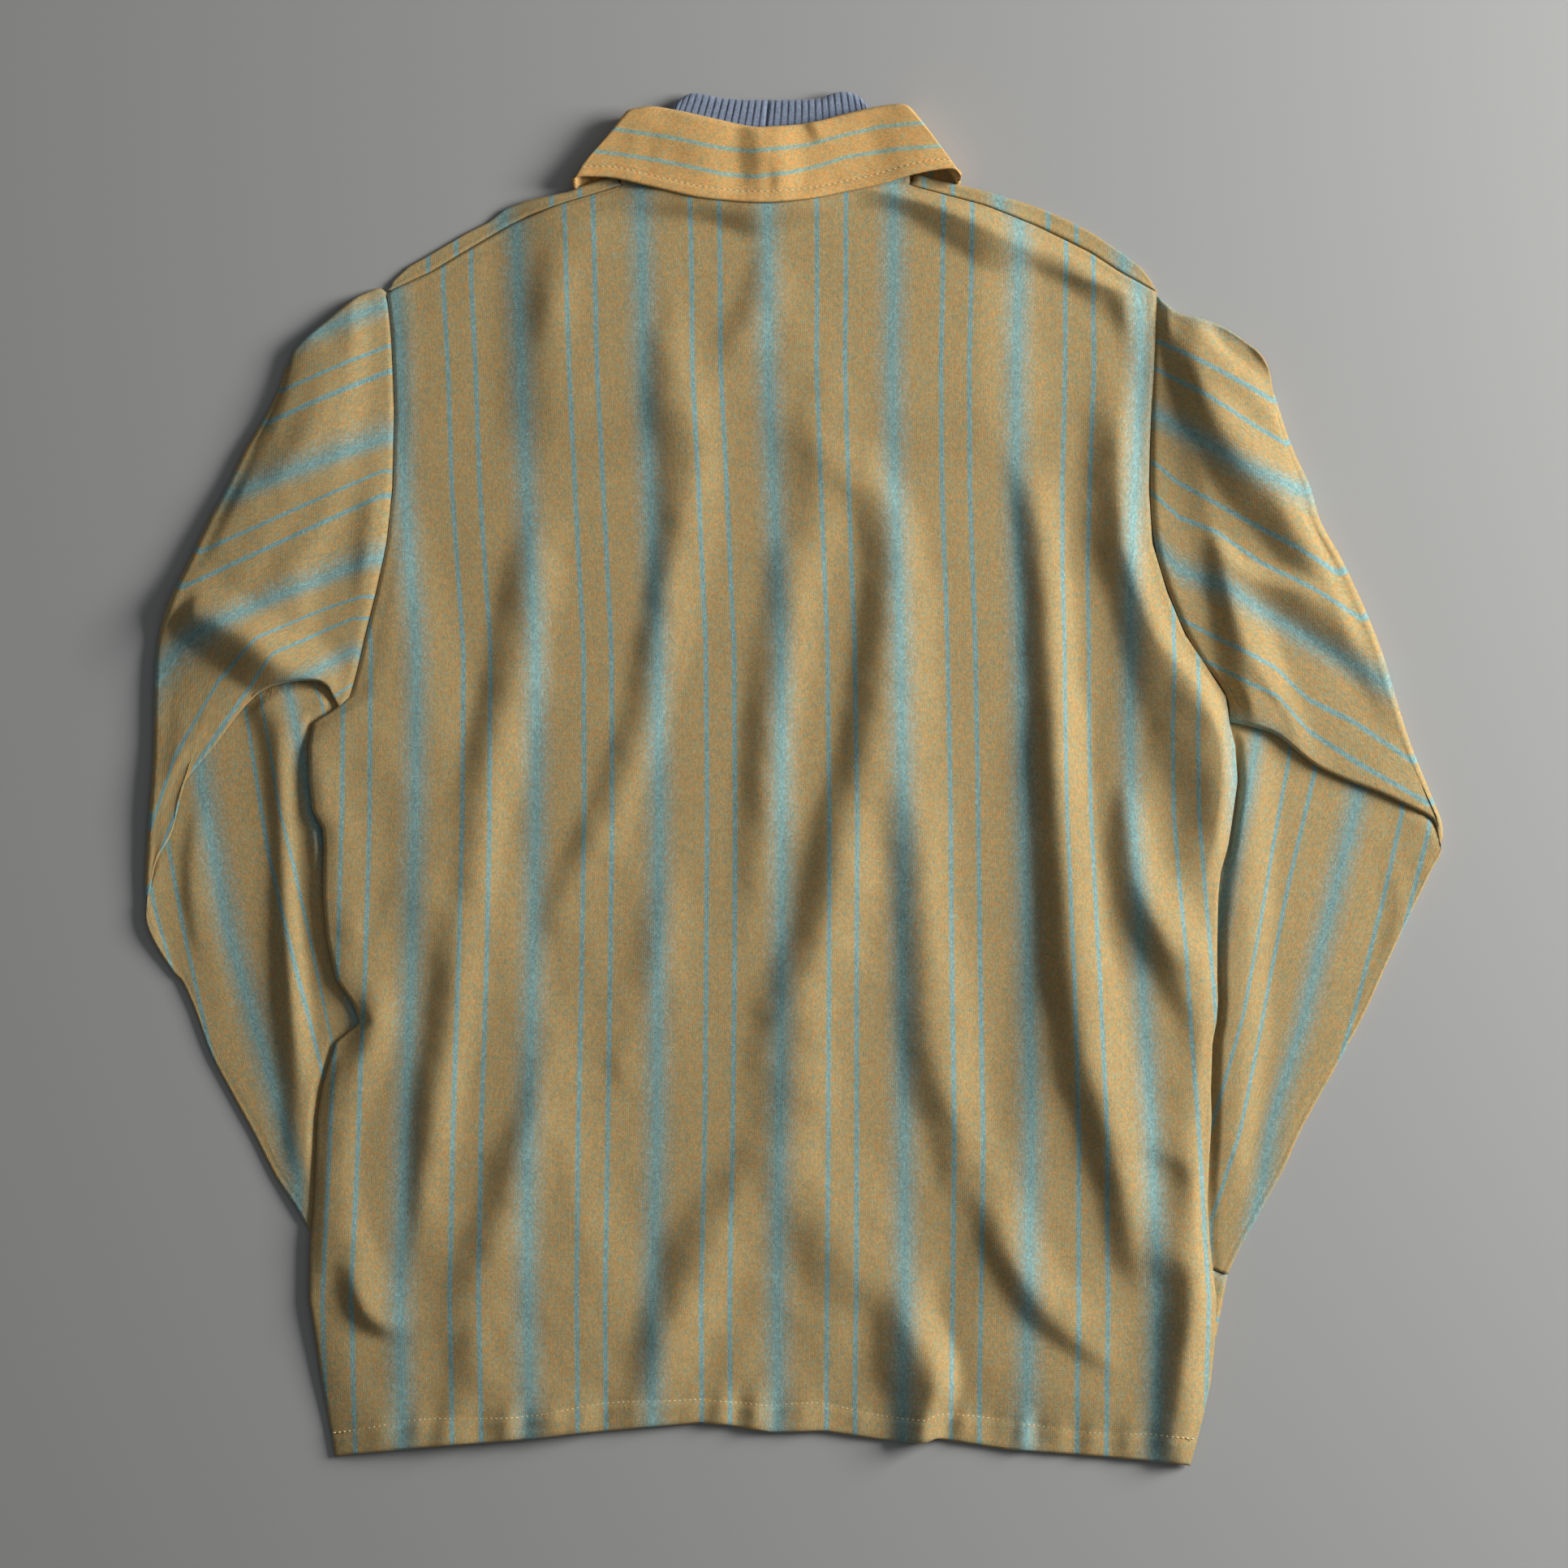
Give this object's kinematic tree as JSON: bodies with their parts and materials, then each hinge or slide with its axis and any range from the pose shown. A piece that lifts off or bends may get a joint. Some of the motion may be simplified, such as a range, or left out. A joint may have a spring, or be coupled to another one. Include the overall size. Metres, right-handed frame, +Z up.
{
  "type": "pullover shirt",
  "caption": "Long-sleeved striped knit pullover shirt with a turned-down collar and ribbed neck band, laid flat back up with both sleeves folded under.",
  "frame": {"origin": "centre of the layout's footprint, on the surface it rests on", "axes": "+Z up, away from the surface; +Y from the hem towards the collar; +X across the shirt, to the viewer's right"},
  "size_m": [0.7596, 0.8038, 0.0176],
  "materials": {
    "body_cloth": "golden ochre melange knit with lengthwise blue-green stripes, matt",
    "collar_cloth": "the same cloth cut across, two thin blue-green lines along it, topstitched, matt",
    "rib_knit": "slate-blue ribbed knit, matt"
  },
  "bodies": {
    "root": {"back": "body_cloth", "front": "body_cloth", "sleeve_left": "body_cloth", "sleeve_right": "body_cloth", "cuff_left": "body_cloth", "cuff_right": "body_cloth", "collar": "collar_cloth", "neck_rib": "rib_knit"}
  },
  "joints": []
}
